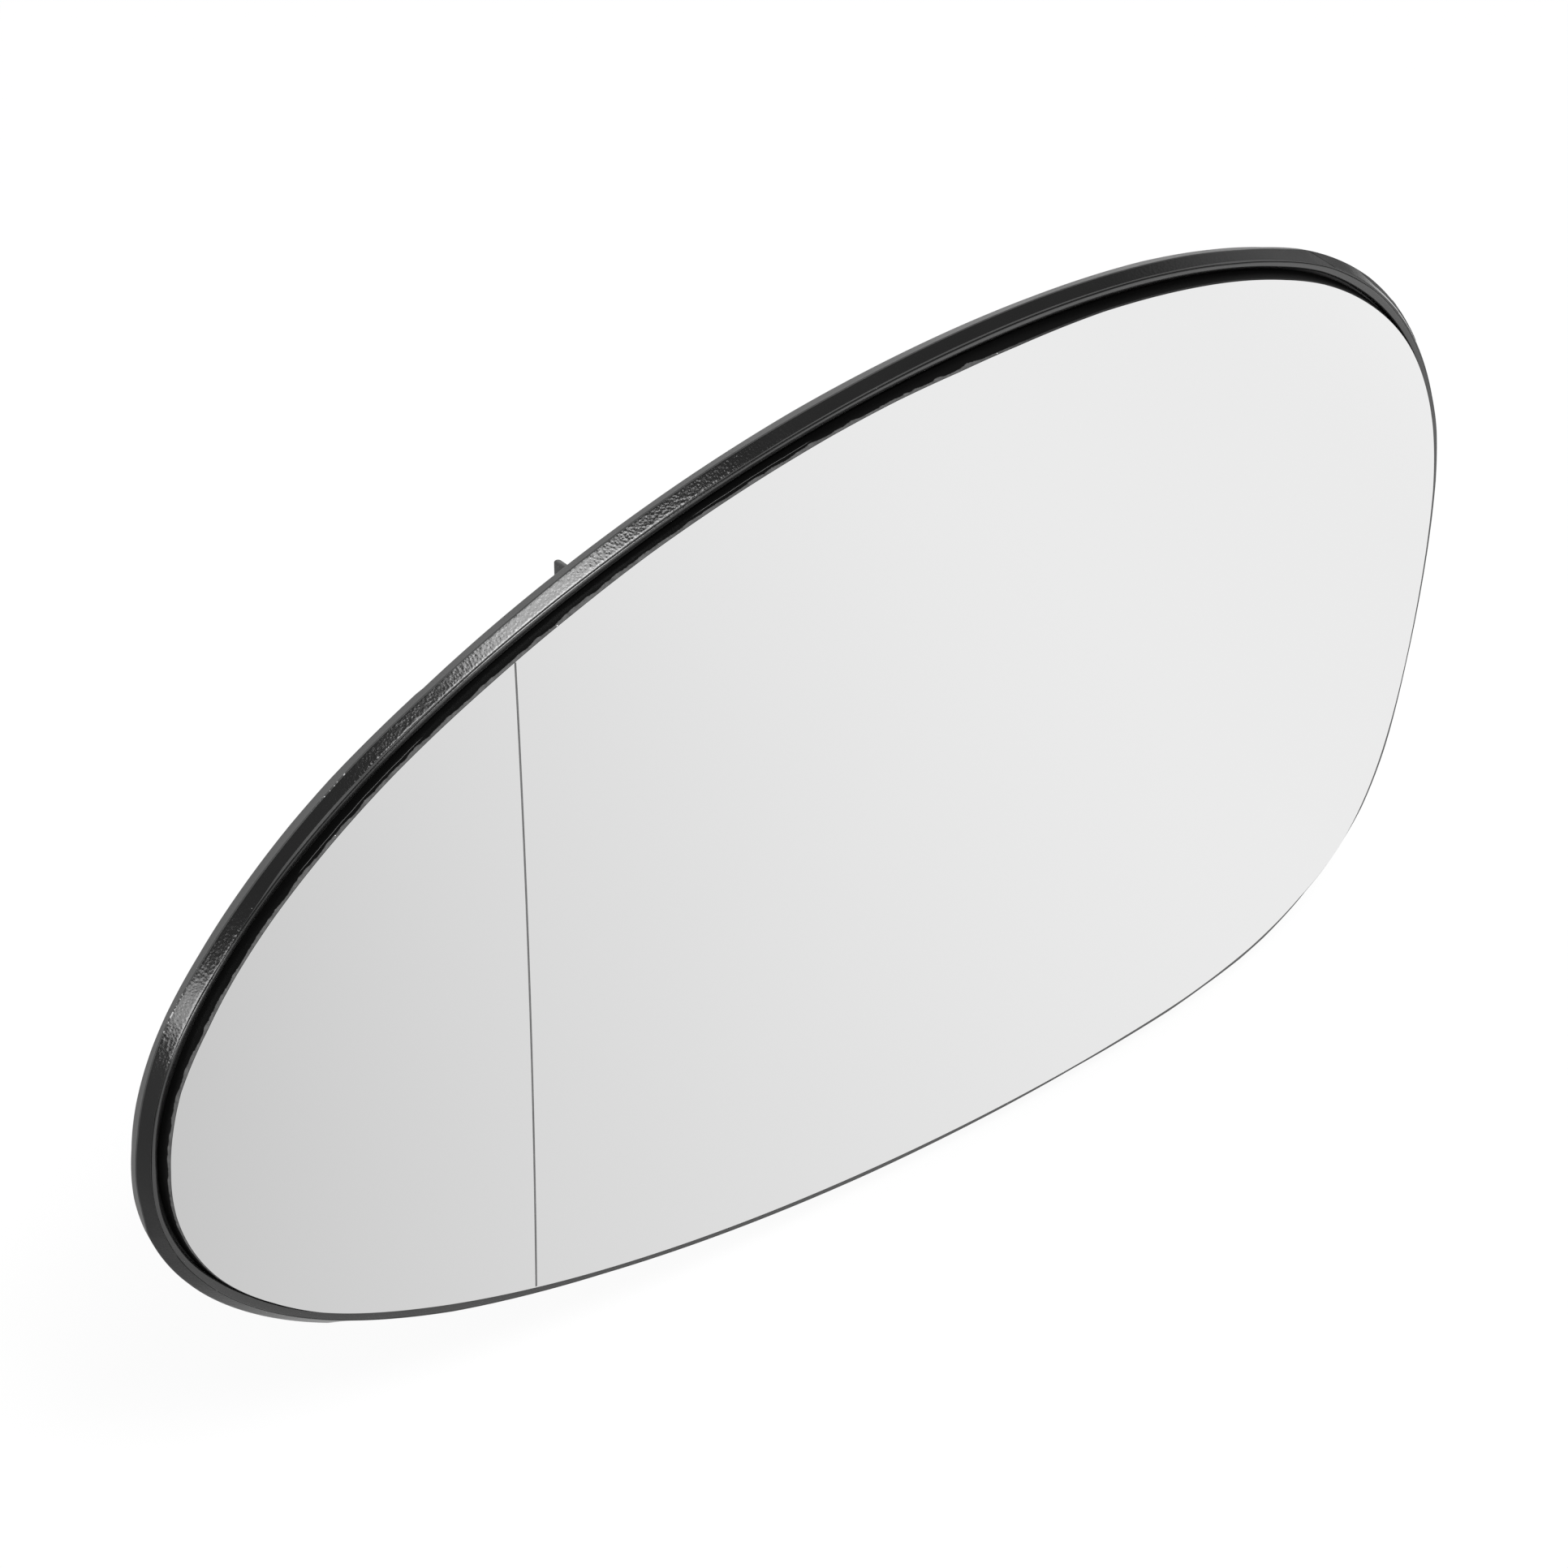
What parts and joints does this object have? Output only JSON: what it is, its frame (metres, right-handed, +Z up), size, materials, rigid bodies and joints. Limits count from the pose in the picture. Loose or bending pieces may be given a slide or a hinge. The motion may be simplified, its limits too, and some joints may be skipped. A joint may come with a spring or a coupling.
{
  "type": "door mirror glass",
  "caption": "Convex pane with a tighter curved outer end, bonded into a stepped rim carrier with a clip hub and spindle sockets behind.",
  "frame": {"origin": "on the axis of the adjuster hub, in the middle of the catches of its spring claws, where the adjuster's head is gripped", "axes": "+Y along the hub axis away from the face, which looks along -Y; +Z up; +X towards the inner end, so the tighter curved outer end is at -X"},
  "size_m": [0.18, 0.0128, 0.1092],
  "materials": {
    "silvered_glass": "polished",
    "bonding_film": "matt",
    "black_plastic": "fine grain"
  },
  "bodies": {
    "root": {"mirror_glass": "silvered_glass", "bonding_pad": "bonding_film", "carrier": "black_plastic"}
  },
  "joints": []
}
